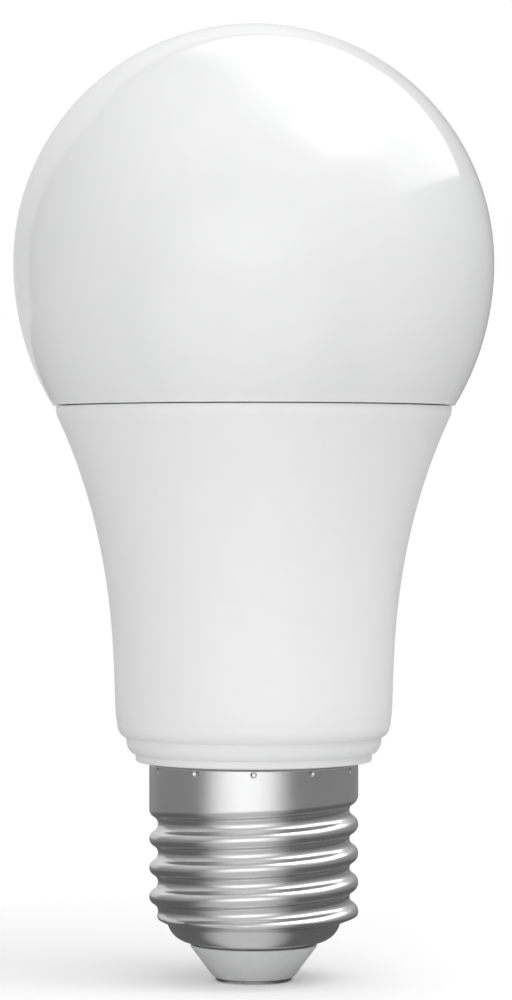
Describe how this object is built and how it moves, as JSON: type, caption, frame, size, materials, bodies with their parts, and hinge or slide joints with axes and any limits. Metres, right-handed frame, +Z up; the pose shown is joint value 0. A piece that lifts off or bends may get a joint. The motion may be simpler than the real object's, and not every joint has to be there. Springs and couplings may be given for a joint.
{
  "type": "smart light bulb",
  "caption": "Smart light bulb with an opal globe, a flared white housing with a stepped foot, a nickel screw base, and the light engine, driver and radio inside.",
  "frame": {"origin": "centre of the centre contact's underside, on the bulb's axis, at the lowest point of the part", "axes": "+Z up along the bulb's axis from the contact to the top of the globe; -Y is the side that faces the viewer; +X to the viewer's right"},
  "size_m": [0.06, 0.06, 0.1194],
  "materials": {
    "opal_diffuser": "opal white polycarbonate, glossy, diffusing",
    "white_housing": "satin white moulded plastic",
    "silicone": "white cured silicone",
    "nickel_shell": "satin nickel-plated rolled sheet",
    "base_insulator": "mid-grey moulded insulator, satin",
    "contact_metal": "nickel-plated contact, slightly darkened",
    "wire_red": "red insulated wire",
    "wire_white": "white insulated wire",
    "aluminium": "spun aluminium, satin",
    "white_board": "white solder mask on an aluminium board",
    "warm_led": "warm phosphor in a white package",
    "cool_led": "cool phosphor in a white package",
    "screw_steel": "zinc-plated screw",
    "sleeve_film": "translucent insulating film",
    "green_board": "green solder mask on glass-fibre board",
    "capacitor_sleeve": "dark shrink sleeve over an aluminium can",
    "ferrite": "dark grey ferrite",
    "black_nylon": "black moulded nylon",
    "winding_tape": "yellow polyester tape over the winding",
    "copper": null,
    "film_box": "blue moulded film capacitor box",
    "varistor_coat": "blue epoxy coat",
    "resistor_coat": "green cement coat",
    "chip_black": "black moulded chip package",
    "tinned_metal": "bright tinned steel and pins",
    "blue_board": "blue solder mask on glass-fibre board"
  },
  "bodies": {
    "root": {"diffuser_globe": "opal_diffuser", "outer_housing": "white_housing", "silicone_bead": "silicone", "screw_shell": "nickel_shell", "insulator_cone": "base_insulator", "centre_contact": "contact_metal", "live_wire": "wire_red", "neutral_wire": "wire_white", "heat_sink_cup": "aluminium", "led_board": "white_board", "led_warm_1": "warm_led", "led_cool_1": "cool_led", "led_warm_2": "warm_led", "led_cool_2": "cool_led", "led_warm_3": "warm_led", "led_cool_3": "cool_led", "led_warm_4": "warm_led", "led_cool_4": "cool_led", "led_warm_5": "warm_led", "led_cool_5": "cool_led", "led_warm_6": "warm_led", "led_cool_6": "cool_led", "led_warm_7": "warm_led", "led_cool_7": "cool_led", "led_warm_8": "warm_led", "led_cool_8": "cool_led", "led_warm_9": "warm_led", "led_cool_9": "cool_led", "board_screw_1": "screw_steel", "board_screw_2": "screw_steel", "board_screw_3": "screw_steel", "insulating_sleeve": "sleeve_film", "driver_board": "green_board", "bulk_capacitor": "capacitor_sleeve", "output_capacitor": "capacitor_sleeve", "transformer_core_upper": "ferrite", "transformer_core_lower": "ferrite", "transformer_bobbin": "black_nylon", "transformer_winding": "winding_tape", "choke_core": "ferrite", "choke_winding": "copper", "safety_capacitor": "film_box", "varistor": "varistor_coat", "fusible_resistor": "resistor_coat", "bridge_rectifier": "chip_black", "power_switch_chip": "chip_black", "dimmer_chip": "chip_black", "output_diode": "chip_black", "led_pin_block": "black_nylon", "led_pin_1": "tinned_metal", "led_pin_2": "tinned_metal", "led_pin_3": "tinned_metal", "radio_board": "blue_board", "radio_shield_can": "tinned_metal", "radio_antenna": "copper", "radio_pin_header": "black_nylon"}
  },
  "joints": []
}
